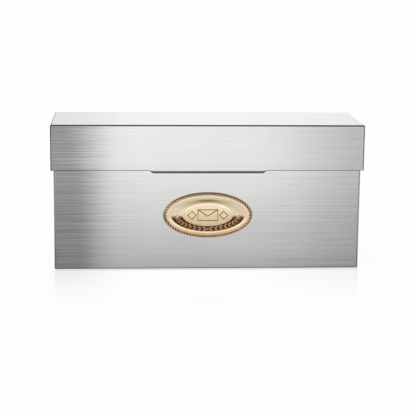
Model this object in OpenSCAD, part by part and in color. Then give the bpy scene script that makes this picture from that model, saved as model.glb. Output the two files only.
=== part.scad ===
// Wall mounted mailbox of folded stainless sheet, with a hinged lid and an oval brass plate.
// The origin is on the wall plane, in the middle of the four wall screw holes.
// +X runs along the box, -Y is the front and +Z is up.

/* [Box] */
// Width of the lid over its end skirts
lid_width = 406.4; // [380:0.1:500]
// Distance from the wall to the front of the lid
lid_depth = 140; // [110:1:180]
// Height from the underside of the box to the top of the lid
total_height = 190; // [170:1:260]
// Gap between each end skirt of the lid and the body
end_gap = 2.7; // [2:0.1:5]
// Gap between the lid's front skirt and the body
front_gap = 2; // [1.8:0.1:4]
// Thickness of every folded sheet
sheet_t = 1; // [0.8:0.1:1]
// Outer radius of the body's upright bends
upright_bend_r = 3; // [2:0.5:5]
// Outer radius of all other bends
bend_r = 2; // [1.5:0.1:2.5]
// Width of the flanges that hold the bottom and back panels
flange_w = 12; // [10:0.5:15]
// Radius of a drain hole in the bottom panel
drain_r = 3; // [2:0.5:4]

/* [Lid] */
// Height of the lid's front and end skirts
skirt_height = 59.4; // [40:0.2:80]
// Height of the folded safety hems
hem_height = 6; // [4:0.5:8]
// Length of the finger lip under the front skirt
lip_length = 150; // [80:1:200]
// How far the finger lip reaches along its slope
lip_reach = 3.5; // [3:0.5:8]
// Slope of the finger lip below the horizontal, in degrees
lip_slope = 45; // [30:1:60]
// Thickness of the finger lip's strip
lip_t = 0.8; // [0.6:0.1:1]
// Thickness of the rubber pads that the lid closes on
pad_t = 2; // [1.5:0.1:2.5]

/* [Hinge] */
// Number of knuckles along the hinge
knuckle_count = 15; // [9:2:25]
// Radius of the hinge pin
pin_r = 1.25; // [1:0.05:1.3]
// Radial running clearance round the pin
pin_clearance = 0.05; // [0.02:0.01:0.1]
// Thickness of the hinge leaves
leaf_t = 0.8; // [0.6:0.1:0.8]
// Width of a hinge leaf, measured from the pin
leaf_width = 18; // [14:0.5:20]

/* [Wall screws] */
// Distance between the wall holes along the box
wall_hole_spacing_x = 304.8; // [200:0.1:320]
// Distance between the wall holes up and down
wall_hole_spacing_z = 90; // [60:1:110]
// Radius of a wall hole
wall_hole_r = 2.75; // [2:0.05:4]
// Height of the middle of the wall holes above the box's underside
wall_hole_height = 95; // [80:1:100]

/* [Oval plate] */
// Width of the plate over its rope border
plate_width = 116.5; // [90:0.5:140]
// Height of the plate over its rope border
plate_height = 60; // [50:0.5:70]
// Height of the plate's middle above the box's underside
plate_centre = 72; // [60:1:72]
// Distance between the two studs behind the plate
stud_spacing = 60; // [40:1:70]

/* [Hidden] */

$fn = 64;
// how far a cut runs past the face that it opens
cut = 1;
// overlap that joins the halves of an outline
eps = 0.01;
// slack between flat panels and the bends around them
panel_slack = 0.2;

steel_colour = [0.80, 0.80, 0.79];
rivet_colour = [0.72, 0.72, 0.73];
zinc_colour = [0.66, 0.67, 0.68];
brass_colour = [0.80, 0.64, 0.40];
rubber_colour = [0.12, 0.12, 0.12];

// heights in the part's own frame
z_bottom = -wall_hole_height;
z_lid_top = z_bottom + total_height;
z_lid_under = z_lid_top - sheet_t;
z_skirt = z_lid_top - skirt_height;
z_floor = z_bottom + 2 * sheet_t;

// the body stands inside the lid's skirts, and its rim is just clear of the closed lid's pads
body_width = lid_width - 2 * (sheet_t + end_gap);
body_front_y = -(lid_depth - sheet_t - front_gap);
body_inner_w = body_width - 2 * sheet_t;
body_inner_y = body_front_y + sheet_t;
rim_clearance = 0.3;
z_rim = z_lid_under - pad_t - rim_clearance;

// the pin stands far enough forward that the lid's back edge swings clear of the wall
pin_y = -4.8;
pin_z = z_lid_under - 2.5;
lid_back_y = -2;
hinge_length = body_width - 15;
knuckle_length = hinge_length / knuckle_count;
knuckle_gap = 0.3;
knuckle_bore_r = pin_r + pin_clearance;
knuckle_r = knuckle_bore_r + leaf_t;
// the solid part of a leaf starts this far from the pin, clear of the other leaf's knuckles
leaf_start = knuckle_r + 0.4;

// the back panel's folded top hem stands forward to meet the fixed leaf
panel_hem_y = pin_y + knuckle_r;
panel_hem_height = 20;
panel_hem_r = -panel_hem_y / 2;
z_panel_top = pin_z - 4.5;
// the body's ends are cut down to the panel's top over this depth, for the lid's swinging edge
relief_depth = 12;

rivet_r = 1.6;
rivet_head_r = 2.8;
rivet_head_h = 1;
rivet_dome_r = (rivet_head_r ^ 2 + rivet_head_h ^ 2) / (2 * rivet_head_h);
// how far a rivet's tail stays inside the outer face
rivet_recess = 0.1;
hinge_rivet_count = 6;
hinge_rivet_drop = 12;
floor_rivet_x = [-140, 0, 140];
side_rivet_z = [z_bottom + 25, z_bottom + total_height / 2, z_bottom + total_height - 30];

plate_z = z_bottom + plate_centre;
stud_r = 2;
stud_hole_r = 2.25;
stud_length = 6.5;
washer_r = 4.5;
washer_t = 0.8;
washer_bore_r = 2.15;
nut_flats = 7;
nut_h = 3.2;
nut_bore_r = 2.05;

// plan of a block with its back edge at y = 0 and rounded front corners
module front_rounded_square(w, d, r) {
    translate([-w / 2, -d + r]) square([w, d - r]);
    translate([-w / 2 + r, -d]) square([w - 2 * r, r + eps]);
    for (side = [-1, 1])
        translate([side * (w / 2 - r), -d + r]) circle(r);
}

// face of a block with its lower corners rounded
module low_rounded_square(w, h, r) {
    translate([-w / 2, r]) square([w, h - r]);
    translate([-w / 2 + r, 0]) square([w - 2 * r, r + eps]);
    for (side = [-1, 1])
        translate([side * (w / 2 - r), r]) circle(r);
}

// block with rounded front upright edges and rounded low edges at its front and ends
module bent_block(w, d, h, upright_r, low_r) {
    intersection() {
        linear_extrude(h) front_rounded_square(w, d, upright_r);
        rotate([90, 0, 0]) linear_extrude(d) low_rounded_square(w, h, low_r);
        translate([-w / 2, 0, 0]) rotate([90, 0, 90]) linear_extrude(w)
            low_rounded_square(2 * d, h, low_r);
    }
}

// section of a hem: two layers of sheet, joined by a half round fold at the origin
module hem_section() {
    translate([-sheet_t, 0]) square([2 * sheet_t, hem_height - sheet_t]);
    circle(sheet_t);
}

// hem along X, centred, with its layers above the fold
module hem_along_x(length) {
    translate([-length / 2, 0, 0]) rotate([90, 0, 90]) linear_extrude(length) hem_section();
}

// hem that runs forwards from y = 0
module hem_along_y(length) {
    rotate([90, 0, 0]) linear_extrude(length) hem_section();
}

// rivet with its head on -Y, seated at y = 0, and its shank towards +Y
module rivet(grip) {
    rotate([-90, 0, 0]) cylinder(r = rivet_r, h = grip - rivet_recess);
    intersection() {
        translate([0, rivet_dome_r - rivet_head_h, 0]) sphere(rivet_dome_r);
        rotate([90, 0, 0]) cylinder(r = rivet_head_r, h = rivet_head_h);
    }
}

// hole for a rivet's shank, through the grip and past both faces
module rivet_hole(grip) {
    translate([0, -cut, 0]) rotate([-90, 0, 0]) cylinder(r = rivet_r, h = grip + 2 * cut);
}

module back_rivet_places() {
    for (side = [-1, 1], z = side_rivet_z)
        translate([side * (body_inner_w - flange_w) / 2, -2 * sheet_t, z]) children();
}

module hinge_rivet_places() {
    pitch = hinge_length / hinge_rivet_count;
    for (i = [0 : hinge_rivet_count - 1])
        translate([(i + 0.5) * pitch - hinge_length / 2, panel_hem_y - leaf_t, pin_z - hinge_rivet_drop])
            children();
}

// rivets that point down through the bottom panel and the flange under it
module floor_rivet_places() {
    inset = flange_w / 2 + sheet_t;
    for (x = floor_rivet_x, y = [body_front_y + inset, -inset])
        translate([x, y, z_floor]) rotate([-90, 0, 0]) children();
    for (side = [-1, 1])
        translate([side * (body_width / 2 - inset), body_front_y / 2, z_floor])
            rotate([-90, 0, 0]) children();
}

module stud_places() {
    for (side = [-1, 1])
        translate([side * stud_spacing / 2, body_front_y, plate_z]) rotate([-90, 0, 0]) children();
}

module wall_holes() {
    for (x = [-1, 1], z = [-1, 1])
        translate([x * wall_hole_spacing_x / 2, cut, z * wall_hole_spacing_z / 2])
            rotate([90, 0, 0]) cylinder(r = wall_hole_r, h = sheet_t + 2 * cut);
}

// front and ends as one bent sheet, with flanges at the back and the bottom, before its hems
module wrap_sheet() {
    depth = -body_inner_y;
    wrap_h = z_rim - z_bottom;
    open_w = body_inner_w - 2 * flange_w;
    difference() {
        translate([0, -sheet_t, z_bottom])
            bent_block(body_width, depth, wrap_h, upright_bend_r, bend_r);
        translate([0, -2 * sheet_t, z_bottom + sheet_t])
            bent_block(body_inner_w, depth - 2 * sheet_t, wrap_h,
                       upright_bend_r - sheet_t, bend_r - sheet_t);
        // open between the back flanges
        translate([-open_w / 2, -2 * sheet_t - cut, z_bottom - cut])
            cube([open_w, 2 * sheet_t + cut, wrap_h + 2 * cut]);
        // open inside the bottom flanges
        translate([-open_w / 2, body_inner_y + flange_w, z_bottom - cut])
            cube([open_w, depth, sheet_t + 2 * cut]);
    }
}

module body_wrap() {
    front_hem_l = body_inner_w - 2 * upright_bend_r;
    end_hem_l = -body_front_y - upright_bend_r - relief_depth - 2;
    z_fold = z_rim - sheet_t;
    color(steel_colour) difference() {
        union() {
            difference() {
                wrap_sheet();
                // the top edge is taken down where a fold replaces it
                translate([-front_hem_l / 2, body_front_y - cut, z_fold])
                    cube([front_hem_l, sheet_t + 2 * cut, sheet_t + cut]);
                for (side = [-1, 1])
                    translate([side * (body_width - sheet_t) / 2 - sheet_t,
                               -relief_depth - end_hem_l, z_fold])
                        cube([2 * sheet_t, end_hem_l, sheet_t + cut]);
            }
            translate([0, body_inner_y, z_fold]) mirror([0, 0, 1]) hem_along_x(front_hem_l);
            for (side = [-1, 1])
                translate([side * body_inner_w / 2, -relief_depth, z_fold]) mirror([0, 0, 1])
                    hem_along_y(end_hem_l);
        }
        translate([-body_width, -relief_depth, z_panel_top])
            cube([2 * body_width, 2 * relief_depth, total_height]);
        back_rivet_places() rivet_hole(2 * sheet_t);
        floor_rivet_places() rivet_hole(2 * sheet_t);
        stud_places() translate([0, 0, -cut]) cylinder(r = stud_hole_r, h = sheet_t + 2 * cut);
    }
}

// a sheet folded forwards and down at its top, with room inside the fold
module panel_hem(w) {
    translate([-w / 2, -panel_hem_r, z_panel_top - panel_hem_r]) rotate([0, 90, 0]) difference() {
        union() {
            cylinder(r = panel_hem_r, h = w);
            translate([0, -panel_hem_r, 0]) cube([panel_hem_height, 2 * panel_hem_r, w]);
        }
        translate([0, 0, -cut]) cylinder(r = panel_hem_r - sheet_t, h = w + 2 * cut);
        translate([0, sheet_t - panel_hem_r, -cut])
            cube([panel_hem_height + cut, 2 * (panel_hem_r - sheet_t), w + 2 * cut]);
    }
}

// flat back with a forward folded hem, and a flange under the bottom panel
module back_panel() {
    panel_w = body_width - 2 * panel_slack;
    // the hem and the flange lie between the wrap's flanges
    between_w = body_inner_w - 2 * flange_w - 2 * panel_slack;
    color(steel_colour) difference() {
        union() {
            translate([-panel_w / 2, -sheet_t, z_bottom])
                cube([panel_w, sheet_t, z_panel_top - panel_hem_r - z_bottom]);
            panel_hem(between_w);
            translate([-between_w / 2, -flange_w - sheet_t, z_bottom])
                cube([between_w, flange_w + sheet_t, sheet_t]);
        }
        wall_holes();
        back_rivet_places() rivet_hole(2 * sheet_t);
        hinge_rivet_places() rivet_hole(leaf_t - panel_hem_y);
        floor_rivet_places() rivet_hole(2 * sheet_t);
    }
}

// flat floor that lies on the flanges
module bottom_panel() {
    edge = bend_r - sheet_t + panel_slack;
    back_edge_y = -2 * sheet_t - panel_slack;
    panel_w = body_inner_w - 2 * edge;
    panel_d = back_edge_y - body_inner_y - edge;
    color(steel_colour) difference() {
        translate([0, back_edge_y, z_bottom + sheet_t])
            linear_extrude(sheet_t) front_rounded_square(panel_w, panel_d, upright_bend_r);
        floor_rivet_places() rivet_hole(2 * sheet_t);
        for (x = [-0.4, 0.4], y = [0.3, 0.7])
            translate([x * body_width, y * body_front_y, z_bottom])
                cylinder(r = drain_r, h = 2 * sheet_t + cut);
    }
}

module bottom_panel_rivets() {
    color(rivet_colour) floor_rivet_places() rivet(2 * sheet_t);
}

module back_panel_rivets() {
    color(rivet_colour) back_rivet_places() rivet(2 * sheet_t);
}

// every second knuckle along X, starting with number first
module knuckles(first) {
    for (i = [first : 2 : knuckle_count - 1])
        translate([i * knuckle_length + (knuckle_gap - hinge_length) / 2, pin_y, pin_z])
            rotate([0, 90, 0]) cylinder(r = knuckle_r, h = knuckle_length - knuckle_gap);
}

// a leaf drawn flat: fingers run from the pin line, y = 0, to the solid part
module flat_leaf(first) {
    for (i = [first : 2 : knuckle_count - 1])
        translate([i * knuckle_length + (knuckle_gap - hinge_length) / 2, 0, 0])
            cube([knuckle_length - knuckle_gap, leaf_start + eps, leaf_t]);
    translate([-hinge_length / 2, leaf_start, 0])
        cube([hinge_length, leaf_width - leaf_start, leaf_t]);
}

module pin_bore() {
    translate([-hinge_length, pin_y, pin_z]) rotate([0, 90, 0])
        cylinder(r = knuckle_bore_r, h = 2 * hinge_length);
}

// upright leaf on the back panel's hem, hanging down from the pin
module hinge_fixed_leaf() {
    color(steel_colour) difference() {
        union() {
            knuckles(0);
            translate([0, panel_hem_y - leaf_t, pin_z]) rotate([-90, 0, 0]) flat_leaf(0);
        }
        pin_bore();
        hinge_rivet_places() rivet_hole(leaf_t);
    }
}

module hinge_rivets() {
    color(rivet_colour) hinge_rivet_places() rivet(leaf_t - panel_hem_y);
}

// pin with a flat head on each end
module hinge_pin() {
    head_r = pin_r + 0.5;
    head_t = 0.6;
    head_gap = 0.2;
    half = hinge_length / 2 + head_gap;
    color(steel_colour) translate([0, pin_y, pin_z]) rotate([0, 90, 0]) {
        translate([0, 0, -half]) cylinder(r = pin_r, h = 2 * half);
        for (side = [-1, 1])
            translate([0, 0, side * (half + head_t / 2)])
                cylinder(r = head_r, h = head_t, center = true);
    }
}

// level leaf welded under the lid, running forwards from the pin
module lid_hinge_leaf() {
    color(steel_colour) difference() {
        union() {
            knuckles(1);
            translate([0, pin_y, z_lid_under - leaf_t]) mirror([0, 1, 0]) flat_leaf(1);
        }
        pin_bore();
    }
}

// top, front skirt and end skirts in one folded shell, with hemmed lower edges
module lid_shell() {
    inner_w = lid_width - 2 * sheet_t;
    shell_d = lid_depth + lid_back_y;
    hem_stop = 5;
    front_hem_l = inner_w / 2 - hem_stop - lip_length / 2;
    front_hem_x = (inner_w / 2 - hem_stop + lip_length / 2) / 2;
    end_hem_l = shell_d - 2 * hem_stop;
    z_fold = z_skirt + sheet_t;
    color(steel_colour) {
        difference() {
            translate([0, lid_back_y, z_lid_top]) mirror([0, 0, 1])
                bent_block(lid_width, shell_d, skirt_height, bend_r, bend_r);
            translate([0, lid_back_y + cut, z_lid_under]) mirror([0, 0, 1])
                bent_block(inner_w, shell_d - sheet_t + cut, skirt_height,
                           bend_r - sheet_t, bend_r - sheet_t);
            // the lower edge is taken up where a fold replaces it
            for (side = [-1, 1]) {
                translate([side * front_hem_x, sheet_t / 2 - lid_depth, z_fold - sheet_t])
                    cube([front_hem_l, 2 * sheet_t, 2 * sheet_t], center = true);
                translate([side * (lid_width - sheet_t) / 2, (lid_back_y - lid_depth) / 2,
                           z_fold - sheet_t])
                    cube([2 * sheet_t, end_hem_l, 2 * sheet_t], center = true);
            }
        }
        for (side = [-1, 1]) {
            translate([side * front_hem_x, sheet_t - lid_depth, z_fold]) hem_along_x(front_hem_l);
            translate([side * inner_w / 2, lid_back_y - hem_stop, z_fold]) hem_along_y(end_hem_l);
        }
    }
}

// strip welded inside the front skirt and turned out below it, with its outer corners cut off
module lid_finger_lip() {
    leg_h = 12;
    leg_drop = 0.4;
    corner_w = 4;
    corner_h = 2.8;
    half = lip_length / 2;
    color(steel_colour) translate([0, sheet_t - lid_depth, z_skirt - leg_drop]) {
        translate([-half, 0, 0]) cube([lip_length, lip_t, leg_h]);
        translate([-half, lip_t / 2, 0]) rotate([0, 90, 0]) cylinder(r = lip_t / 2, h = lip_length);
        // the blade, drawn flat and turned down to its slope
        translate([0, lip_t / 2, 0]) rotate([-180 + lip_slope, 0, 0]) translate([0, 0, -lip_t / 2])
            linear_extrude(lip_t) polygon([
                [-half, 0], [half, 0],
                [half, lip_reach - corner_h], [half - corner_w, lip_reach],
                [corner_w - half, lip_reach], [-half, lip_reach - corner_h]]);
    }
}

// rubber pads under the lid, over the body's front rim
module lid_pads() {
    pad_l = 16;
    pad_w = 4;
    color(rubber_colour) for (side = [-1, 1])
        translate([side * lid_width * 0.42, body_inner_y, z_lid_under - pad_t / 2])
            cube([pad_l, pad_w, pad_t], center = true);
}

function ellipse_points(w, h, count) =
    [for (i = [0 : count - 1]) [w / 2 * cos(360 * i / count), h / 2 * sin(360 * i / count)]];

module oval(w, h, t) {
    linear_extrude(t) polygon(ellipse_points(w, h, 96));
}

// ring between the plate's own outline less one inset and less another
module oval_ring(outer_inset, inner_inset, t) {
    difference() {
        oval(plate_width - 2 * outer_inset, plate_height - 2 * outer_inset, t);
        translate([0, 0, -cut])
            oval(plate_width - 2 * inner_inset, plate_height - 2 * inner_inset, t + 2 * cut);
    }
}

// straight raised line between two points
module ridge(a, b, wide, high) {
    run = b - a;
    translate([a[0], a[1], 0]) rotate([0, 0, atan2(run[1], run[0])])
        translate([0, -wide / 2, 0]) cube([norm(run), wide, high]);
}

// cast plate: rope border, flat rim, sunk cove and a raised middle with an envelope on it
module oval_plate() {
    rope_w = 4;
    rope_h = 4;
    rim_w = 8;
    rim_h = 3;
    floor_t = 0.8;
    middle_w = 64;
    middle_h = 31;
    middle_t = 2.4;
    envelope = [26, 15];
    line_w = 1;
    line_h = 3;
    half = envelope / 2;
    corners = [[-half[0], -half[1]], [half[0], -half[1]], [half[0], half[1]], [-half[0], half[1]]];
    color(brass_colour) translate([0, body_front_y, plate_z]) rotate([90, 0, 0]) {
        oval(plate_width - rope_w, plate_height - rope_w, floor_t);
        oval_ring(0, rope_w, rope_h);
        oval_ring(rope_w - eps, rim_w, rim_h);
        oval(middle_w, middle_h, middle_t);
        for (i = [0 : 3])
            ridge(corners[i], corners[(i + 1) % 4], line_w, line_h);
        for (i = [2, 3])
            ridge(corners[i], [0, -1], line_w, line_h);
    }
}

module plate_studs() {
    color(brass_colour) stud_places() cylinder(r = stud_r, h = stud_length);
}

module plate_washers() {
    color(zinc_colour) stud_places() translate([0, 0, sheet_t]) difference() {
        cylinder(r = washer_r, h = washer_t);
        translate([0, 0, -cut]) cylinder(r = washer_bore_r, h = washer_t + 2 * cut);
    }
}

module plate_nuts() {
    color(zinc_colour) stud_places() translate([0, 0, sheet_t + washer_t]) difference() {
        cylinder(r = nut_flats / sqrt(3), h = nut_h, $fn = 6);
        translate([0, 0, -cut]) cylinder(r = nut_bore_r, h = nut_h + 2 * cut);
    }
}

body_wrap();
back_panel();
bottom_panel();
bottom_panel_rivets();
back_panel_rivets();
hinge_fixed_leaf();
hinge_rivets();
hinge_pin();
oval_plate();
plate_studs();
plate_washers();
plate_nuts();
lid_shell();
lid_hinge_leaf();
lid_finger_lip();
lid_pads();
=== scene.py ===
"""Wall mounted mailbox of brushed stainless sheet with an oval brass plate, in a white studio."""

import math

import bpy
import numpy as np
from mathutils import Matrix, Vector


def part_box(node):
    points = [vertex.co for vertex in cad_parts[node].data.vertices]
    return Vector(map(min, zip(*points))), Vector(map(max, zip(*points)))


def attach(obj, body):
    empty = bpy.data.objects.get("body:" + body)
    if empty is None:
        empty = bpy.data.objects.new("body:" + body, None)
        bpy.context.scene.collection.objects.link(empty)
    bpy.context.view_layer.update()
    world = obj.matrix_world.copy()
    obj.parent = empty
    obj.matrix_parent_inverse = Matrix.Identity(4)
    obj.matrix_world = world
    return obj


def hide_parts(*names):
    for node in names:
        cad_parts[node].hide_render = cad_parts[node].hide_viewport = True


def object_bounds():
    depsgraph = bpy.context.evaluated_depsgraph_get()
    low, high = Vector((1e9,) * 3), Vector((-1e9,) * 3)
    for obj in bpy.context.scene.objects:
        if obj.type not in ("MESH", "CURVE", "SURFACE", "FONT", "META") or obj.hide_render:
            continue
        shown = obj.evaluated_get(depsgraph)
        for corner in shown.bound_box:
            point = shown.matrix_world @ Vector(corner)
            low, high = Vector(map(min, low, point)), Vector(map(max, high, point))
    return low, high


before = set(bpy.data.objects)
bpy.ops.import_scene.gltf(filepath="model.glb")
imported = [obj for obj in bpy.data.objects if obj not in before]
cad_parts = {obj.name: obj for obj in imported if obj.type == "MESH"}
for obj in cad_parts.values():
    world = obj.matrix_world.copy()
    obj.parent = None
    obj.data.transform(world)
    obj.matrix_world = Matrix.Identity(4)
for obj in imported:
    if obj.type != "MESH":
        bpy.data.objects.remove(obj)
CAD_LOW, CAD_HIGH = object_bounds()
MM = 0.001
WHITE = (1.0, 1.0, 1.0, 1.0)


# ---------------------------------------------------------------- node helpers

class Nodes:
    """Short calls for building a node tree."""

    def __init__(self, tree):
        self.tree = tree
        tree.nodes.clear()

    def add(self, kind, inputs=None, **settings):
        node = self.tree.nodes.new(kind)
        for name, value in settings.items():
            setattr(node, name, value)
        for name, value in (inputs or {}).items():
            self.put(node.inputs[name], value)
        return node

    def put(self, socket, value):
        """Link the socket to another one, or give it a plain value."""
        if isinstance(value, bpy.types.NodeSocket):
            self.tree.links.new(value, socket)
        else:
            socket.default_value = value

    def math(self, operation, a, b=0.0):
        node = self.add("ShaderNodeMath", operation=operation)
        self.put(node.inputs[0], a)
        self.put(node.inputs[1], b)
        return node.outputs[0]

    def plus(self, a, b):
        return self.math("ADD", a, b)

    def minus(self, a, b):
        return self.math("SUBTRACT", a, b)

    def times(self, a, b):
        return self.math("MULTIPLY", a, b)

    def size(self, a):
        return self.math("ABSOLUTE", a)

    def larger(self, a, b):
        return self.math("MAXIMUM", a, b)

    def exceeds(self, a, b):
        """1 where a is above b, and 0 elsewhere."""
        return self.math("GREATER_THAN", a, b)

    def shared(self, a, share, b):
        """That share of a, and the rest of b."""
        return self.plus(self.times(a, share), self.times(b, 1.0 - share))

    def vector(self, x, y, z):
        return self.add("ShaderNodeCombineXYZ", {"X": x, "Y": y, "Z": z}).outputs[0]

    def split(self, vector):
        return self.add("ShaderNodeSeparateXYZ", {"Vector": vector}).outputs

    def here(self):
        """The place on the object, in metres."""
        return self.add("ShaderNodeTexCoord").outputs["Object"]

    def noise(self, vector, scale, detail=2.0, roughness=0.5):
        node = self.add("ShaderNodeTexNoise",
                        {"Vector": vector, "Scale": scale, "Detail": detail, "Roughness": roughness})
        return node.outputs["Fac"]

    def ramp(self, value, stops):
        """Colour ramp through [(position, grey or colour)]."""
        node = self.add("ShaderNodeValToRGB", {"Fac": value})
        elements = node.color_ramp.elements
        while len(elements) < len(stops):
            elements.new(0.5)
        for element, (position, tone) in zip(elements, stops):
            element.position = position
            element.color = (*tone, 1.0) if isinstance(tone, tuple) else (tone, tone, tone, 1.0)
        return node.outputs["Color"]

    def span(self, value, low, high, to_low=0.0, to_high=1.0, kind="LINEAR"):
        """The value carried from low...high to to_low...to_high, and held at its ends."""
        node = self.add("ShaderNodeMapRange",
                        {"Value": value, "From Min": low, "From Max": high,
                         "To Min": to_low, "To Max": to_high}, interpolation_type=kind)
        return node.outputs["Result"]

    def mix(self, factor, a, b, blend="MIX"):
        """Colour a at factor 0, and colour b at factor 1."""
        node = self.add("ShaderNodeMix", data_type="RGBA", blend_type=blend)
        for index, value in ((0, factor), (6, a), (7, b)):
            self.put(node.inputs[index], value)
        return node.outputs[2]

    def scaled(self, colour, grey):
        return self.mix(1.0, colour, self.vector(grey, grey, grey), "MULTIPLY")

    def bump(self, height, strength, distance, normal=None):
        inputs = {"Height": height, "Strength": strength, "Distance": distance}
        if normal is not None:
            inputs["Normal"] = normal
        return self.add("ShaderNodeBump", inputs).outputs["Normal"]


def grey_colour(grey):
    return (grey, grey, grey, 1.0)


def new_material(name):
    material = bpy.data.materials.new(name)
    material.use_nodes = True
    return material, Nodes(material.node_tree)


def finish_material(n, shader_inputs):
    shader = n.add("ShaderNodeBsdfPrincipled", shader_inputs)
    output = n.add("ShaderNodeOutputMaterial")
    n.put(output.inputs["Surface"], shader.outputs[0])


# tones are kept in a ramp as parts of this one, so that its colours stay between 0 and 1
PEAK = 5.0


def tones(n, value, stops):
    """Grey read from stops of (value, tone), where a tone may be anything up to PEAK."""
    low, high = stops[0][0], stops[-1][0]
    parts = [((at - low) / (high - low), tone / PEAK) for at, tone in stops]
    return n.times(n.ramp(n.span(value, low, high), parts), PEAK)


# ---------------------------------------------------------------- steel

# a face looks sideways or up where its normal has at least this part that way
FACING_PART = 0.7
# how much of the normal lies along one axis on the flats, and well inside a bend
FLAT_PART = 0.997
BENT_PART = 0.96
# metres that keep the grain on the ends and on the top from repeating the front's
END_SHIFT = 3.0
TOP_SHIFT = 7.0


def grain_axes(n):
    """Metres along and across a horizontal grain and the direction across it, for faces that look
    forwards, sideways or up; how much a place belongs to a bend; and 1 where the face is level."""
    coordinates = n.add("ShaderNodeTexCoord")
    x, y, z = n.split(coordinates.outputs["Object"])
    nx, ny, nz = (n.size(part) for part in n.split(coordinates.outputs["Normal"]))
    sideways = n.exceeds(nx, FACING_PART)
    level = n.exceeds(nz, FACING_PART)
    along = n.plus(n.times(x, n.minus(1.0, sideways)), n.times(n.plus(y, END_SHIFT), sideways))
    across = n.plus(n.times(z, n.minus(1.0, level)), n.times(n.plus(y, TOP_SHIFT), level))
    # the shader lays this direction flat on the face: upwards on the front, backwards on the top
    up_and_back = n.vector(0.0, n.minus(1.0, nx), 1.0)
    turned = n.add("ShaderNodeVectorTransform", {"Vector": up_and_back},
                   vector_type="VECTOR", convert_from="OBJECT", convert_to="WORLD")
    flattest = n.larger(n.larger(nx, ny), nz)
    bent = n.span(flattest, FLAT_PART, BENT_PART, kind="SMOOTHSTEP")
    return along, across, turned.outputs[0], bent, level


STEEL_TINT = (1.0, 0.998, 0.985)
SCRATCH_COLOUR = (0.93, 0.93, 0.92, 1.0)
SCRATCH_SHARE = 0.2
# near black that the bends are darkened towards, as painted shade
BEND_SHADE_COLOUR = grey_colour(0.05)
# black of the painted shade on the finger lip's cut corners
CORNER_SHADE_COLOUR = grey_colour(0.01)
# how dark the grain's lines are drawn, by metres from the sheet's middle: darker towards the ends, most of
# all at the left, which is partly the grain and partly painted shade that goes with the dark the front
# reflects there
GRAIN_AND_SHADE_DEPTH = [(-0.20, 4.6), (-0.15, 4.0), (-0.12, 1.1), (0.07, 1.0), (0.13, 1.8), (0.20, 1.8)]
LEVEL_DEPTH = 2.2
# sideways part of a line's normal, which makes it face a little to the left or to the right
LINE_FACING = 0.0024
# part of the lines' unevenness that level faces keep: they are seen at a glance, where the lines
# blend into one sheen
LEVEL_UNEVENNESS = 0.25
# added to the sheet's roughness: on its smoothest lines, in cloudy patches either way, on bends
SMOOTHEST_LINES = -0.015
CLOUD_ROUGHNESS = 0.004
BEND_ROUGHNESS = 0.1


def steel_colour(n, tone, groove_and_shade, shade, scratches):
    """The sheet's tone, darker in the grain's grooves and in painted shade near the ends, shaded in broad
    patches, and scratched.
    """
    sheet = (*(tone * part for part in STEEL_TINT), 1.0)
    colour = n.scaled(sheet, n.minus(1.0, groove_and_shade))
    colour = n.scaled(colour, shade)
    return n.mix(n.times(scratches, SCRATCH_SHARE), colour, SCRATCH_COLOUR)


def steel_roughness(n, roughness, rough_lines, polish, cloud, bent, unevenness):
    """The grain's lines differ in polish, patches differ a little, and bends are duller."""
    lines = n.times(n.span(polish, 0.40, 0.66, SMOOTHEST_LINES, rough_lines), unevenness)
    patches = n.span(cloud, 0.3, 0.7, roughness - CLOUD_ROUGHNESS, roughness + CLOUD_ROUGHNESS)
    return n.plus(n.plus(lines, patches), n.times(bent, BEND_ROUGHNESS))


def steel_normal(n, lean, facing, fine, unevenness):
    """The face's normal, leaned sideways as a whole and line by line, with the finest grain in it."""
    sideways = n.plus(n.times(n.span(facing, 0.35, 0.65, -LINE_FACING, LINE_FACING), unevenness), lean)
    straight = n.add("ShaderNodeNewGeometry").outputs["Normal"]
    leaning = n.add("ShaderNodeVectorMath", {0: straight, 1: n.vector(sideways, 0.0, 0.0)},
                    operation="ADD")
    return n.bump(fine, 0.35, 0.04 * MM, leaning.outputs["Vector"])


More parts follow.
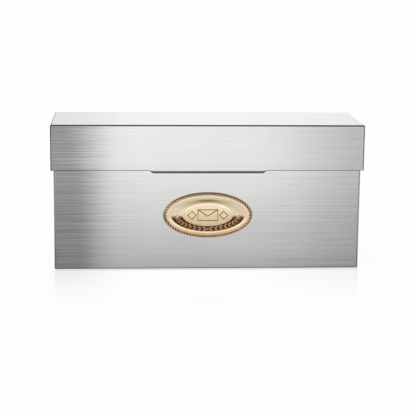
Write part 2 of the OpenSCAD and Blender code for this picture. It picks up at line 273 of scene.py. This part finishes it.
def brushed_steel(name, tone=0.80, seed=0.0, roughness=0.062, lean=0.0, line_depth=0.09,
                  rough_lines=0.07, bend_shade=0.55, painted_shade_spot=None):
    """Stainless sheet with a horizontal grain whose lines differ in polish and in the way they
    face, a few scratches, and bends that are duller than the flats and darkened with painted shade."""
    material, n = new_material(name)
    along, across, tangent, bent, level = grain_axes(n)

    def streaks(length_mm, width_mm, detail, offset):
        """Noise drawn out along the grain, in lines of about this length and width."""
        place = n.vector(n.times(along, 1.0 / MM / length_mm),
                         n.times(across, 1.0 / MM / width_mm), seed + offset)
        return n.noise(place, 1.0, detail, 0.6)

    fine = streaks(80.0, 0.5, 2.0, 0.0)
    polish = n.shared(streaks(300.0, 1.05, 1.0, 11.0), 0.6, streaks(70.0, 0.9, 1.0, 13.0))
    facing = n.shared(streaks(400.0, 1.3, 1.0, 19.0), 0.6, streaks(110.0, 1.1, 1.0, 61.0))
    broad = streaks(1500.0, 9.0, 2.0, 23.0)
    cloud = n.noise(n.vector(along, across, seed + 31.0), 14.0, 3.0)
    scratches = n.ramp(streaks(45.0, 1.3, 4.0, 47.0), [(0.0, 0.0), (0.62, 0.0), (0.72, 1.0)])

    lines = n.span(n.shared(fine, 0.3, polish), 0.64, 0.38, 0.0, line_depth)
    # the lines are drawn deeper towards the ends as painted shade
    grain_and_shade_depth = n.plus(n.times(tones(n, along, GRAIN_AND_SHADE_DEPTH), n.minus(1.0, level)),
                   n.times(level, LEVEL_DEPTH))
    shade = n.span(n.shared(broad, 0.5, cloud), 0.3, 0.7, 0.97, 1.02)
    colour = steel_colour(n, tone, n.times(lines, grain_and_shade_depth), shade, scratches)
    # painted shade: the bends are darkened towards near black, standing for the dark surroundings they
    # reflect
    colour = n.mix(n.times(bent, bend_shade), colour, BEND_SHADE_COLOUR)
    # painted shade: a black line where the lip's corners are cut
    if painted_shade_spot:
        colour = n.mix(painted_shade_spot(n), colour, CORNER_SHADE_COLOUR)

    unevenness = n.span(level, 0.0, 1.0, 1.0, LEVEL_UNEVENNESS)
    finish_material(n, {
        "Base Color": colour,
        "Metallic": 1.0,
        "Roughness": steel_roughness(n, roughness, rough_lines, polish, cloud, bent, unevenness),
        "Anisotropic": 1.0,
        "Tangent": tangent,
        "Normal": steel_normal(n, lean, facing, fine, unevenness),
    })
    return material


# ---------------------------------------------------------------- other materials

def plain_metal(name, colour, roughness, speck=90.0):
    """Rolled or plated metal: mottled, slightly worn, with light handling marks."""
    material, n = new_material(name)
    place = n.here()
    mottle = n.noise(place, speck, 4.0, 0.6)
    fine = n.noise(place, speck * 14.0, 3.0, 0.6)
    dark = tuple(0.78 * part for part in colour)
    tone = n.mix(n.span(mottle, 0.3, 0.7), (*dark, 1.0), (*colour, 1.0))
    rough = n.span(n.shared(mottle, 0.6, fine), 0.3, 0.7, roughness - 0.06, roughness + 0.08)
    finish_material(n, {
        "Base Color": tone, "Metallic": 1.0, "Roughness": rough,
        "Normal": n.bump(fine, 0.25, 0.05 * MM)})
    return material


# painted shade: the gold is paler at the plate's top and darker and pinker towards its bottom
BRASS_SHADED_BY_HEIGHT = [(0.0, (0.91, 0.62, 0.40)), (0.3, (0.96, 0.74, 0.48)), (0.6, (1.0, 0.83, 0.58))]
# the brass's brown of patina and painted shade, its near black of painted shade, and its nearly white
# painted highlight
BRASS_PATINA_AND_SHADE = (0.42, 0.22, 0.08, 1.0)
BRASS_PAINTED_SHADE = (0.06, 0.027, 0.009, 1.0)
BRASS_PAINTED_HIGHLIGHT = (1.0, 0.91, 0.72, 1.0)


def cast_brass(name, low_z, high_z):
    """Satin cast brass: pale gold at the top and darker, pinker gold towards the bottom as painted shade,
    brown with patina and painted shade where the mark is up to 1, and a nearly white painted highlight
    where it is down to -1."""
    material, n = new_material(name)
    place = n.here()
    mottle = n.noise(place, 130.0, 4.0, 0.6)
    fine = n.noise(place, 1500.0, 3.0, 0.65)
    patina_and_painted_light = n.add("ShaderNodeAttribute", attribute_name="patina_and_painted_light",
                   attribute_type="GEOMETRY").outputs["Fac"]
    height_shaded_gold = n.ramp(n.span(n.split(place)[2], low_z, high_z), BRASS_SHADED_BY_HEIGHT)
    gold = n.mix(n.span(mottle, 0.3, 0.7), n.scaled(height_shaded_gold, 0.90), height_shaded_gold)
    gold = n.scaled(gold, n.span(fine, 0.3, 0.7, 0.90, 1.04))
    # patina and painted shade where the mark is above 0, and painted highlight where it is below 0
    patina_and_shade = n.mix(n.span(patina_and_painted_light, 0.0, 0.4), gold, n.mix(0.75, gold, BRASS_PATINA_AND_SHADE))
    colour = n.mix(n.span(patina_and_painted_light, 0.3, 1.0), patina_and_shade, BRASS_PAINTED_SHADE)
    colour = n.mix(n.span(patina_and_painted_light, 0.0, -1.0), colour, BRASS_PAINTED_HIGHLIGHT)
    finish_material(n, {
        "Base Color": colour, "Metallic": 1.0,
        "Roughness": n.span(n.shared(mottle, 0.5, fine), 0.3, 0.7, 0.22, 0.34),
        "Normal": n.bump(fine, 0.35, 0.06 * MM)})
    return material


def rubber(name):
    """Black rubber with a fine grain and a little dust."""
    material, n = new_material(name)
    place = n.here()
    grain = n.noise(place, 1800.0, 3.0)
    dust = n.noise(place, 160.0, 3.0)
    colour = n.mix(n.span(dust, 0.35, 0.7), (0.018, 0.018, 0.018, 1.0), (0.05, 0.05, 0.048, 1.0))
    finish_material(n, {
        "Base Color": colour, "Roughness": n.span(grain, 0.3, 0.7, 0.6, 0.85),
        "Normal": n.bump(grain, 0.4, 0.1 * MM)})
    return material


PLATE_LOW, PLATE_HIGH = (Vector(corner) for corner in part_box("oval_plate"))
LIP_LOW, LIP_HIGH = (Vector(corner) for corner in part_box("lid_finger_lip"))
LIP_CORNER_W = 4.0 * MM
LIP_CORNER_H = 2.0 * MM
CORNER_SHADE_FROM = 0.42


def painted_corner_shade(n):
    """1 along the finger lip's cut corners, where a black line of painted shade stands for the gap's
    shadow.
    """
    x, _, z = n.split(n.here())
    beyond = n.span(n.size(x), LIP_HIGH.x - LIP_CORNER_W, LIP_HIGH.x)
    below = n.span(z, LIP_LOW.z + LIP_CORNER_H, LIP_LOW.z)
    return n.exceeds(n.plus(beyond, below), CORNER_SHADE_FROM)


BODY_STEEL = brushed_steel("brushed_body")
LID_STEEL = brushed_steel("brushed_lid", tone=0.79, seed=5.0, lean=0.0064, line_depth=0.10,
                          rough_lines=0.075, bend_shade=0.96)
# the lip's tone is set darker than the rest of the steel as painted shade, for the darker surroundings it
# faces
SHADED_LIP_STEEL = brushed_steel("brushed_lip_painted_shade", tone=0.62, seed=7.0, bend_shade=0.0, painted_shade_spot=painted_corner_shade)
INNER_STEEL = brushed_steel("brushed_panels", tone=0.70, seed=9.0, roughness=0.20)
HINGE_STEEL = plain_metal("hinge_steel", (0.62, 0.62, 0.61), 0.30)
RIVET_METAL = plain_metal("rivet_metal", (0.68, 0.68, 0.69), 0.38, speck=300.0)
ZINC = plain_metal("zinc_plate", (0.62, 0.64, 0.66), 0.28, speck=400.0)
BRASS = cast_brass("cast_brass", PLATE_LOW.z, PLATE_HIGH.z)
STUD_BRASS = plain_metal("stud_brass", (0.74, 0.55, 0.30), 0.30, speck=300.0)
RUBBER = rubber("pad_rubber")

MATERIAL_OF = {
    "body_wrap": BODY_STEEL,
    "back_panel": INNER_STEEL,
    "bottom_panel": INNER_STEEL,
    "bottom_panel_rivets": RIVET_METAL,
    "back_panel_rivets": RIVET_METAL,
    "hinge_rivets": RIVET_METAL,
    "hinge_fixed_leaf": HINGE_STEEL,
    "hinge_pin": HINGE_STEEL,
    "lid_hinge_leaf": HINGE_STEEL,
    "plate_studs": STUD_BRASS,
    "plate_washers": ZINC,
    "plate_nuts": ZINC,
    "lid_shell": LID_STEEL,
    "lid_finger_lip": SHADED_LIP_STEEL,
    "lid_pads": RUBBER,
}
for node_name, material in MATERIAL_OF.items():
    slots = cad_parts[node_name].data.materials
    slots.clear()
    slots.append(material)


# ---------------------------------------------------------------- oval brass plate
# Worked out in millimetres from the plate's middle: x to the right, z up, h out of the back face.
# An inset is counted inwards from the plate's edge.

OUTER = ((PLATE_HIGH.x - PLATE_LOW.x) / 2 / MM, (PLATE_HIGH.z - PLATE_LOW.z) / 2 / MM)
BORDER_SIDE_W = 8.65
BORDER_TOP_W = 7.8
COVE_OUTER = (OUTER[0] - BORDER_SIDE_W, OUTER[1] - BORDER_TOP_W)
MIDDLE_OVAL = (32.0, 14.5)
INNERMOST = (0.2, 0.1)
PLATE_AROUND = 1032
BORDER_RINGS = 30
COVE_RINGS = 40
MIDDLE_RINGS = 40

EDGE_W = 1.4
EDGE_H = 2.5
RIM_H = 2.9
RIM_START = 3.4
RIM_DIP = 0.35
COVE_H = 0.6
MIDDLE_H = 0.9
MIDDLE_CROWN = 0.4

ROPE_INSET = 2.5
ROPE_HALF_W = 1.45
ROPE_RISE = 1.2
ROPE_TURNS = 66
ROPE_SLANT = 0.42

LEAF_RISE = 1.1
LEAF_PAIRS = 8
LEAF_FIRST = 0.04
LEAF_STEP = 0.165
LEAF_SIZE = (8.6, 2.3)
LEAF_SPLAY = 0.48
LEAF_SHRINK = 0.025
CURL_BEADS = 24
CURL_TURN = 1.5 * math.pi
CURL_REACH = 3.0
CURL_SHRINK = 0.6
CURL_BEAD_R = 0.75
KNOT_R = 1.3

ENVELOPE = (13.0, 7.0)
FLAP_Z = -1.4
LOZENGE_X = 20.8
LOZENGE_REACH = 5.4
MARK_RISE = 0.5
MARK_HALF_W = 0.75
MARK_SOFTNESS = 0.35
MARK_STAIN = 0.7


def smooth(t):
    """From 0 to 1 as t goes from 0 to 1, level at both ends."""
    t = np.clip(t, 0.0, 1.0)
    return t * t * (3.0 - 2.0 * t)


def dome(distance, radius):
    """Height from 1 at distance 0 to 0 at the radius, as a round dome."""
    return np.sqrt(np.clip(1.0 - (distance / radius) ** 2, 0.0, 1.0))


def patch(x, z, middle, reach):
    """A soft spot that is 1 at its middle and fades out beyond its reach."""
    return np.exp(-((x - middle[0]) / reach[0]) ** 2 - ((z - middle[1]) / reach[1]) ** 2)


def segment_distance(x, z, a, b):
    dx, dz = b[0] - a[0], b[1] - a[1]
    t = np.clip(((x - a[0]) * dx + (z - a[1]) * dz) / (dx * dx + dz * dz), 0.0, 1.0)
    return np.hypot(x - a[0] - t * dx, z - a[1] - t * dz)


def outline(points):
    return [(points[i], points[(i + 1) % len(points)]) for i in range(len(points))]


def leaf(x, z, root, angle, length, width):
    """A pointed leaf with a sunk midrib, growing from its root at an angle."""
    c, s = math.cos(angle), math.sin(angle)
    u = ((x - root[0]) * c + (z - root[1]) * s) / length
    v = (-(x - root[0]) * s + (z - root[1]) * c) / width
    inside = np.sin(np.pi * np.clip(u, 0.0, 1.0) ** 0.8)
    edge = np.where(inside > 0.02, 2.0 * np.abs(v) / np.maximum(inside, 0.02), 9.0)
    body = dome(edge, 1.0)
    rib = 0.45 * np.exp(-(v / 0.08) ** 2)
    return np.maximum(body - rib * (body > 0), 0.0)


def cove_point(theta):
    """The middle of the cove at an ellipse angle."""
    a = (COVE_OUTER[0] + MIDDLE_OVAL[0]) / 2
    b = (COVE_OUTER[1] + MIDDLE_OVAL[1]) / 2
    return a * math.cos(theta), b * math.sin(theta)


def leaf_pair(x, z, side, number):
    """Two leaves that part from one root, on the left (side -1) or the right (side 1)."""
    theta = -math.pi / 2 + side * (LEAF_FIRST + LEAF_STEP * number)
    root, ahead = cove_point(theta), cove_point(theta + 0.05 * side)
    along = math.atan2(ahead[1] - root[1], ahead[0] - root[0])
    size = 1.0 - LEAF_SHRINK * number
    length, width = (size * full for full in LEAF_SIZE)
    blades = [leaf(x, z, root, along + lean, length, width) for lean in (LEAF_SPLAY, -LEAF_SPLAY)]
    return LEAF_RISE * size * np.maximum(*blades)


def curl(x, z, side):
    """The beads that end the swag on one side, along a closing hook."""
    end = cove_point(-math.pi / 2 + side * (LEAF_FIRST + LEAF_STEP * (LEAF_PAIRS + 0.4)))
    relief = np.zeros_like(x)
    for i in range(CURL_BEADS):
        part = i / (CURL_BEADS - 1)
        turn = part * CURL_TURN
        reach = CURL_REACH * (1.0 - CURL_SHRINK * part)
        bead_x = end[0] - side * (reach * math.sin(turn) - 1.0)
        bead_z = end[1] + 2.0 - reach * math.cos(turn)
        relief = np.maximum(relief, LEAF_RISE * dome(np.hypot(x - bead_x, z - bead_z), CURL_BEAD_R))
    return relief


def swag(x, z):
    """Leaves in pairs round the lower half of the cove, from a bead out to a curl at each end."""
    _, knot_z = cove_point(-math.pi / 2)
    relief = LEAF_RISE * dome(np.hypot(x, z - knot_z), KNOT_R)
    for side in (-1, 1):
        for number in range(LEAF_PAIRS):
            relief = np.maximum(relief, leaf_pair(x, z, side, number))
        relief = np.maximum(relief, curl(x, z, side))
    return relief


def emblem(x, z):
    """Raised outlines: an envelope between two lozenges."""
    w, h = ENVELOPE
    flap = (0.0, FLAP_Z)
    lines = outline([(-w, -h), (w, -h), (w, h), (-w, h)])
    lines += [((-w, h), flap), ((w, h), flap)]
    for middle in (-LOZENGE_X, LOZENGE_X):
        lines += outline([(middle - LOZENGE_REACH, 0.0), (middle, -LOZENGE_REACH),
                          (middle + LOZENGE_REACH, 0.0), (middle, LOZENGE_REACH)])
    distance = np.min([segment_distance(x, z, a, b) for a, b in lines], axis=0)
    return smooth((MARK_HALF_W - distance) / MARK_SOFTNESS)


def border_heights(inset, along):
    """Rounded outer edge, twisted rope and flat rim, with painted shade between the strands, along the
    rope's inner seam and round the outer edge; along counts turns of the rope.
    """
    edge = EDGE_H * dome(np.maximum(EDGE_W - inset, 0.0), EDGE_W * 1.02)
    base = edge + (RIM_H - EDGE_H) * smooth(inset - RIM_START) - RIM_DIP * smooth((inset - 7.4) / 1.3)
    across = (inset - ROPE_INSET) / ROPE_HALF_W
    twist = np.abs(np.sin(np.pi * (along + ROPE_SLANT * across)))
    height = base + ROPE_RISE * dome(across, 1.0) * (0.25 + 0.75 * twist ** 0.6)
    # painted shade between the rope's strands, along its inner seam and round the plate's outer edge
    shade_between_strands = (1.0 - smooth((twist - 0.68) / 0.25)) * smooth((1.1 - np.abs(across)) / 0.2)
    inner_seam_shade = 0.5 * np.exp(-((inset - ROPE_INSET - ROPE_HALF_W) / 0.25) ** 2)
    outer_edge_shade = 0.55 * smooth((1.6 - inset) / 0.7)
    return height, np.maximum(shade_between_strands, inner_seam_shade + outer_edge_shade)


def cove_heights(t, x, z):
    """Hollow round the middle, filled with leaves in its lower half, where painted shade darkens the ground
    between the leaves, with a crescent of painted shade over the middle and a painted highlight at each
    side; t goes inwards from 0 to 1."""
    top = RIM_H - RIM_DIP
    down = min(max((t - 0.05) / 0.75, 0.0), 1.0)
    floor = top + (COVE_H - top) * (down + smooth(down)) / 2.0
    leaves = swag(x, z) * math.sin(math.pi * t) ** 0.5
    inside = smooth((t - 0.04) / 0.12) * smooth((0.98 - t) / 0.10)
    ground = 1.0 - 0.85 * smooth((leaves / LEAF_RISE - 0.5) / 0.3)
    lower_half = smooth((1.0 - z) / 6.0)
    shade_crescent = 0.45 * np.exp(-(x / 19.0) ** 2) * smooth(z / 6.0)
    shade_crescent = shade_crescent * smooth((t - 0.08) / 0.2) * smooth((1.0 - t) / 0.6)
    # painted shade in the cove's lower half and in the crescent, and painted highlight (below 0) in a patch
    # at each side
    dark = np.maximum(lower_half * inside * ground, shade_crescent)
    cove_painted_highlight = patch(x, z, (-38.0, 7.0), (10.0, 7.0)) + 0.6 * patch(x, z, (37.0, 9.0), (10.0, 6.0))
    return floor + leaves, dark - cove_painted_highlight * (1.0 - dark) * inside


def middle_heights(t, x, z):
    """Raised and slightly crowned middle with the emblem on it."""
    mark = emblem(x, z)
    step = COVE_H + (MIDDLE_H - COVE_H) * smooth(t / 0.05)
    return step + MIDDLE_CROWN * math.sin(math.pi / 2 * t) + MARK_RISE * mark, MARK_STAIN * mark


def place_on_plate(x, h, z):
    middle = (PLATE_LOW + PLATE_HIGH) / 2
    return np.stack([middle.x + x * MM, PLATE_HIGH.y - h * MM, middle.z + z * MM], axis=1)


def plate_rings():
    """Rings of points from the plate's edge to its middle, as (x, z, height, mark of patina and painted
    light).
    """
    angle = np.linspace(0.0, 2.0 * np.pi, PLATE_AROUND, endpoint=False)
    steps = np.hypot(OUTER[0] * np.sin(angle), OUTER[1] * np.cos(angle))
    along = ROPE_TURNS * (np.cumsum(steps) - steps[0]) / steps.sum()
    zones = (
        (OUTER, COVE_OUTER, BORDER_RINGS, lambda t, x, z: border_heights(BORDER_SIDE_W * t, along)),
        (COVE_OUTER, MIDDLE_OVAL, COVE_RINGS, cove_heights),
        (MIDDLE_OVAL, INNERMOST, MIDDLE_RINGS, middle_heights),
    )
    rings = []
    for start, end, count, heights in zones:
        for k in range(count):
            t = k / count
            x = (start[0] + (end[0] - start[0]) * t) * np.cos(angle)
            z = (start[1] + (end[1] - start[1]) * t) * np.sin(angle)
            rings.append((x, z, *heights(t, x, z)))
    return rings


def plate_faces(ring_count):
    """Quads between the rings, and triangles that close the front and the back."""
    around = PLATE_AROUND
    innermost = (ring_count - 1) * around
    front_centre = ring_count * around
    back_centre = front_centre + 1
    faces = []
    for ring in range(ring_count - 1):
        for i in range(around):
            j = (i + 1) % around
            a, b = ring * around, (ring + 1) * around
            faces.append((a + i, b + i, b + j, a + j))
    for i in range(around):
        j = (i + 1) % around
        faces.append((innermost + i, front_centre, innermost + j))
        faces.append((j, back_centre, i))
    return faces


def build_plate():
    rings = plate_rings()
    flat = np.zeros(PLATE_AROUND)
    # the back edge ring gets a little of the brown of patina and painted shade
    rings.insert(0, (rings[0][0], rings[0][1], flat, flat + 0.3))
    centre_heights = np.array([rings[-1][2].mean(), 0.0])
    points = [place_on_plate(x, h, z) for x, z, h, patina_and_painted_light in rings]
    points.append(place_on_plate(np.zeros(2), centre_heights, np.zeros(2)))
    # each point's mark of patina, painted shade and painted highlight
    shade = [patina_and_painted_light for x, z, h, patina_and_painted_light in rings]
    shade.append(np.zeros(2))
    mesh = bpy.data.meshes.new("oval_plate_cast")
    mesh.from_pydata(np.concatenate(points).tolist(), [], plate_faces(len(rings)))
    layer = mesh.attributes.new("patina_and_painted_light", "FLOAT", "POINT")
    layer.data.foreach_set("value", np.concatenate(shade))
    mesh.polygons.foreach_set("use_smooth", [True] * len(mesh.polygons))
    mesh.update()
    mesh.materials.append(BRASS)
    plate = bpy.data.objects.new("oval_plate_cast", mesh)
    bpy.context.scene.collection.objects.link(plate)
    return plate


plate = build_plate()
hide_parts("oval_plate")
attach(plate, "box")


# ---------------------------------------------------------------- camera

CAMERA_AT = Vector((-0.1121, -1.8195, 0.3156))
YAW, PITCH, ROLL = (math.radians(angle) for angle in (3.82, 11.06, 0.59))
LENS_MM = 114.15
SENSOR_MM = 36.0


def place_camera():
    """Turned right by the yaw, tipped down by the pitch, and leaned by the roll."""
    flat = math.cos(PITCH)
    forward = Vector((math.sin(YAW) * flat, math.cos(YAW) * flat, -math.sin(PITCH)))
    level = Vector((math.cos(YAW), -math.sin(YAW), 0.0))
    upright = level.cross(forward)
    right = math.cos(ROLL) * level + math.sin(ROLL) * upright
    up = -math.sin(ROLL) * level + math.cos(ROLL) * upright
    data = bpy.data.cameras.new("camera")
    data.lens = LENS_MM
    data.sensor_width = SENSOR_MM
    data.clip_start = 0.01
    data.clip_end = 100.0
    camera = bpy.data.objects.new("camera", data)
    turn = Matrix((right, up, -forward)).transposed().to_4x4()
    camera.matrix_world = Matrix.Translation(CAMERA_AT) @ turn
    bpy.context.scene.collection.objects.link(camera)
    bpy.context.scene.camera = camera


place_camera()


# ---------------------------------------------------------------- studio
# What the metal reflects is laid out by direction round the box: degrees to the right of straight
# ahead, and degrees up. The left of the front meets a narrow dark flag, and dark wings at both
# sides draw the box's outline.

AROUND = [(-180.0, 0.90), (-178.3, 0.825), (-177.0, 0.79), (-155.0, 0.45), (-90.0, 0.9),
          (-60.0, 1.15), (-14.0, 1.25), (-8.0, 0.8), (-5.0, 0.42), (12.0, 0.58), (13.2, 0.58),
          (17.0, 1.2), (42.0, 1.2), (54.0, 0.3), (78.0, 0.3), (90.0, 0.9), (104.0, 0.4), (150.0, 0.35),
          (170.5, 0.89), (176.5, 0.955), (180.0, 0.92)]
# what the front meets is laid out on a finer scale, because Blender keeps a ramp as 256 steps
AHEAD = [(-5.0, 0.44), (-1.90, 0.46), (-1.70, 0.51), (-1.50, 0.60), (-1.25, 0.73), (-0.9, 0.84),
         (-0.5, 0.91), (0.2, 0.97), (1.2, 1.0), (5.7, 0.96), (6.9, 0.935), (7.9, 0.88), (8.9, 0.78),
         (9.7, 0.71), (10.6, 0.63), (12.0, 0.60)]
UP_IN_FRONT = [(0.0, 1.0), (10.0, 1.0), (20.0, 1.45), (34.0, 1.55), (45.0, 0.5), (58.0, 0.26), (90.0, 0.26)]
UP_BEHIND = [(0.0, 1.0), (16.0, 1.0), (26.0, 0.5), (45.0, 0.26), (90.0, 0.26)]
REFLECTED_LIGHT = 1.14

FLOOR_HALF = 30.0
FLOOR_Z = CAD_LOW.z
FRONT_Y = CAD_LOW.y
# by metres from the box: the floor's tone where metal reflects it, and how much it mirrors the box
FROM_BOX = [(0.0, 0.47), (0.12, 0.60), (0.3, 0.69), (0.55, 0.84), (0.95, 0.98), (1.5, 1.0)]
FLOOR_POLISH = [(0.0, 0.29), (0.034, 0.22), (0.068, 0.145), (0.102, 0.09), (0.16, 0.035), (0.22, 0.0)]
FLOOR_POLISH_ROUGHNESS = 0.12
FLOOR_DIFFUSE = 0.06
FLOOR_GLOW = 0.93
TONE_NEAR_BOX = 0.9
TONE_BESIDE_BOX = 0.55
TONE_BEHIND_BOX = 0.8


def around_tone(n, right, ahead):
    """The studio's tone in the direction with these parts to the right and straight ahead."""
    angle = n.math("DEGREES", n.math("ARCTAN2", right, ahead))
    in_front = n.times(n.exceeds(angle, AHEAD[0][0]), n.exceeds(AHEAD[-1][0], angle))
    return n.mix(in_front, tones(n, angle, AROUND), tones(n, angle, AHEAD))


def build_world():
    """Plain white to the eye and for soft light, and the studio in reflections."""
    world = bpy.data.worlds.new("studio")
    bpy.context.scene.world = world
    world.use_nodes = True
    n = Nodes(world.node_tree)
    x, y, z = n.split(n.add("ShaderNodeTexCoord").outputs["Generated"])
    around = around_tone(n, x, n.times(y, -1.0))
    up = n.math("DEGREES", n.math("ARCSINE", n.larger(z, 0.0)))
    height = n.mix(n.span(y, -0.15, 0.15), tones(n, up, UP_IN_FRONT), tones(n, up, UP_BEHIND))
    grey = n.times(n.times(around, height), REFLECTED_LIGHT)
    # straight up, every direction round the box meets in one tone
    grey = n.mix(n.span(z, 0.75, 0.92), grey, n.times(height, REFLECTED_LIGHT))
    glossy = n.add("ShaderNodeLightPath").outputs["Is Glossy Ray"]
    background = n.add("ShaderNodeBackground", {"Color": n.mix(glossy, WHITE, grey), "Strength": 1.0})
    n.put(n.add("ShaderNodeOutputWorld").inputs["Surface"], background.outputs[0])


def floor_distance(n, x, y):
    """How far a point of the floor is from the box's footprint."""
    beside = n.minus(n.size(x), CAD_HIGH.x)
    before = n.minus(n.size(n.minus(y, FRONT_Y / 2)), -FRONT_Y / 2)
    return n.larger(n.larger(beside, before), 0.0)


def floor_to_the_eye(n, x, away):
    """White, with a polish that dies away from the box and gives the short soft mirror image."""
    polish = n.times(tones(n, away, FLOOR_POLISH), n.exceeds(CAD_HIGH.x, n.size(x)))
    diffuse = n.add("ShaderNodeBsdfDiffuse", {"Color": grey_colour(FLOOR_DIFFUSE)})
    glow = n.add("ShaderNodeEmission", {"Color": WHITE, "Strength": FLOOR_GLOW})
    matt = n.add("ShaderNodeAddShader", {0: diffuse.outputs[0], 1: glow.outputs[0]})
    gloss = n.add("ShaderNodeBsdfGlossy", {"Color": WHITE, "Roughness": FLOOR_POLISH_ROUGHNESS})
    return n.add("ShaderNodeMixShader", {0: polish, 1: matt.outputs[0], 2: gloss.outputs[0]})


def floor_in_reflections(n, x, y, away):
    """The studio's tones carried on over the floor, dimmer close to the box. They fan out from
    behind the front, so that the front shows the floor's tones in line with the studio's."""
    mirrored_y = 2 * FRONT_Y - CAMERA_AT.y
    tone = around_tone(n, n.minus(x, CAMERA_AT.x), n.minus(mirrored_y, y))
    tone = n.mix(n.span(away, 0.45, 0.05, 0.0, 0.17), tone, grey_colour(TONE_NEAR_BOX))
    tone = n.mix(n.span(n.size(x), 0.45, 0.9), tone, grey_colour(TONE_BESIDE_BOX))
    tone = n.mix(n.span(y, FRONT_Y - 0.05, 0.4), tone, grey_colour(TONE_BEHIND_BOX))
    grey = n.times(tone, tones(n, away, FROM_BOX))
    return n.add("ShaderNodeEmission", {"Color": n.vector(grey, grey, grey), "Strength": REFLECTED_LIGHT})


def white_floor():
    material, n = new_material("white_floor")
    x, y, _ = n.split(n.here())
    away = floor_distance(n, x, y)
    seen = floor_to_the_eye(n, x, away)
    mirrored = floor_in_reflections(n, x, y, away)
    glossy = n.add("ShaderNodeLightPath").outputs["Is Glossy Ray"]
    both = n.add("ShaderNodeMixShader", {0: glossy, 1: seen.outputs[0], 2: mirrored.outputs[0]})
    n.put(n.add("ShaderNodeOutputMaterial").inputs["Surface"], both.outputs[0])
    return material


def build_floor():
    corners = [(side_x * FLOOR_HALF, side_y * FLOOR_HALF, FLOOR_Z)
               for side_x, side_y in ((-1, -1), (1, -1), (1, 1), (-1, 1))]
    mesh = bpy.data.meshes.new("floor")
    mesh.from_pydata(corners, [], [(0, 1, 2, 3)])
    mesh.materials.append(white_floor())
    floor = bpy.data.objects.new("floor", mesh)
    bpy.context.scene.collection.objects.link(floor)


def add_light(name, at, aim, size, power):
    """A rectangle of light, in metres, that the camera doesn't see."""
    data = bpy.data.lights.new(name, "AREA")
    data.shape = "RECTANGLE"
    data.size, data.size_y = size
    data.energy = power
    light = bpy.data.objects.new(name, data)
    light.location = at
    light.rotation_euler = (Vector(aim) - Vector(at)).to_track_quat("-Z", "Y").to_euler()
    light.visible_camera = False
    bpy.context.scene.collection.objects.link(light)


build_world()
build_floor()
add_light("key", at=(-0.5, -1.5, 1.6), aim=(0, -0.07, 0), size=(1.2, 0.8), power=2.0)
bpy.context.scene.view_settings.view_transform = "Standard"
